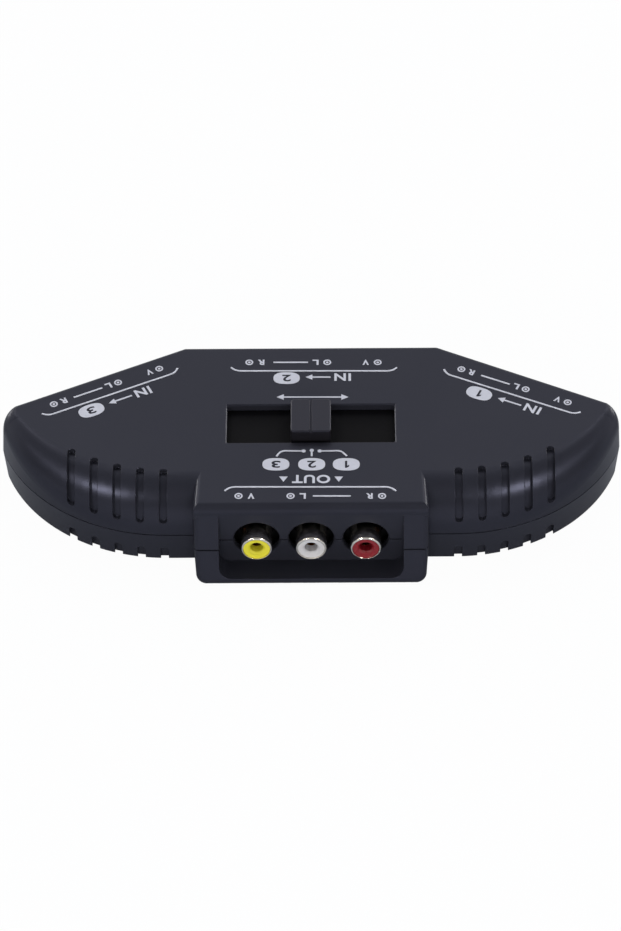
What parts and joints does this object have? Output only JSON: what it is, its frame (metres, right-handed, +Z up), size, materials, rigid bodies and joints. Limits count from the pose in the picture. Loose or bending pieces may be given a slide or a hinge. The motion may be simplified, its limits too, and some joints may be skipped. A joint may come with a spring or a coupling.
{
  "type": "audio video selector switch",
  "caption": "Shallow fan-shaped black selector box with phono jacks on its back panels and front block, and a sliding knob in a slot on top.",
  "frame": {"origin": "middle of the underside, at the centre of the bounding box's footprint", "axes": "+X to the right seen from the output side, +Y towards the input panels at the back, +Z up"},
  "size_m": [0.1624, 0.071, 0.024],
  "materials": {
    "case_plastic": "moulded ABS with a low sheen",
    "knob_plastic": "moulded ABS with a low sheen",
    "shutter_plastic": "matt black strip",
    "inner_plastic": "black moulding",
    "carriage_plastic": "natural acetal",
    "sleeve_nickel": "bright nickel plate",
    "video_yellow": "glossy yellow",
    "left_white": "glossy white",
    "right_red": "glossy red",
    "spring_bronze": "bright bronze strip",
    "track_copper": "tinned copper",
    "board_phenolic": "tan phenolic paper",
    "spring_steel": "spring steel",
    "screw_steel": "zinc-plated steel"
  },
  "bodies": {
    "case": {"upper_case": "case_plastic", "lower_case": "case_plastic", "case_screws": "screw_steel", "output_jack_body": "inner_plastic", "output_video_sleeve": "sleeve_nickel", "output_video_insert": "video_yellow", "output_video_contact": "spring_bronze", "output_left_sleeve": "sleeve_nickel", "output_left_insert": "left_white", "output_left_contact": "spring_bronze", "output_right_sleeve": "sleeve_nickel", "output_right_insert": "right_red", "output_right_contact": "spring_bronze", "input_1_jack_body": "inner_plastic", "input_1_video_sleeve": "sleeve_nickel", "input_1_video_insert": "video_yellow", "input_1_video_contact": "spring_bronze", "input_1_left_sleeve": "sleeve_nickel", "input_1_left_insert": "left_white", "input_1_left_contact": "spring_bronze", "input_1_right_sleeve": "sleeve_nickel", "input_1_right_insert": "right_red", "input_1_right_contact": "spring_bronze", "input_2_jack_body": "inner_plastic", "input_2_video_sleeve": "sleeve_nickel", "input_2_video_insert": "video_yellow", "input_2_video_contact": "spring_bronze", "input_2_left_sleeve": "sleeve_nickel", "input_2_left_insert": "left_white", "input_2_left_contact": "spring_bronze", "input_2_right_sleeve": "sleeve_nickel", "input_2_right_insert": "right_red", "input_2_right_contact": "spring_bronze", "input_3_jack_body": "inner_plastic", "input_3_video_sleeve": "sleeve_nickel", "input_3_video_insert": "video_yellow", "input_3_video_contact": "spring_bronze", "input_3_left_sleeve": "sleeve_nickel", "input_3_left_insert": "left_white", "input_3_left_contact": "spring_bronze", "input_3_right_sleeve": "sleeve_nickel", "input_3_right_insert": "right_red", "input_3_right_contact": "spring_bronze", "circuit_board": "board_phenolic", "contact_tracks": "track_copper", "switch_frame": "inner_plastic", "frame_screws": "screw_steel"},
    "selector": {"selector_knob": "knob_plastic", "slot_shutter": "shutter_plastic", "selector_carriage": "carriage_plastic", "video_wiper": "spring_bronze", "left_wiper": "spring_bronze", "right_wiper": "spring_bronze", "detent_spring": "spring_steel"}
  },
  "joints": [
    {"name": "selector_slide", "type": "slide", "parent": "case", "child": "selector", "axis": [1, 0, 0], "range_m": [-0.015, 0.015]}
  ]
}
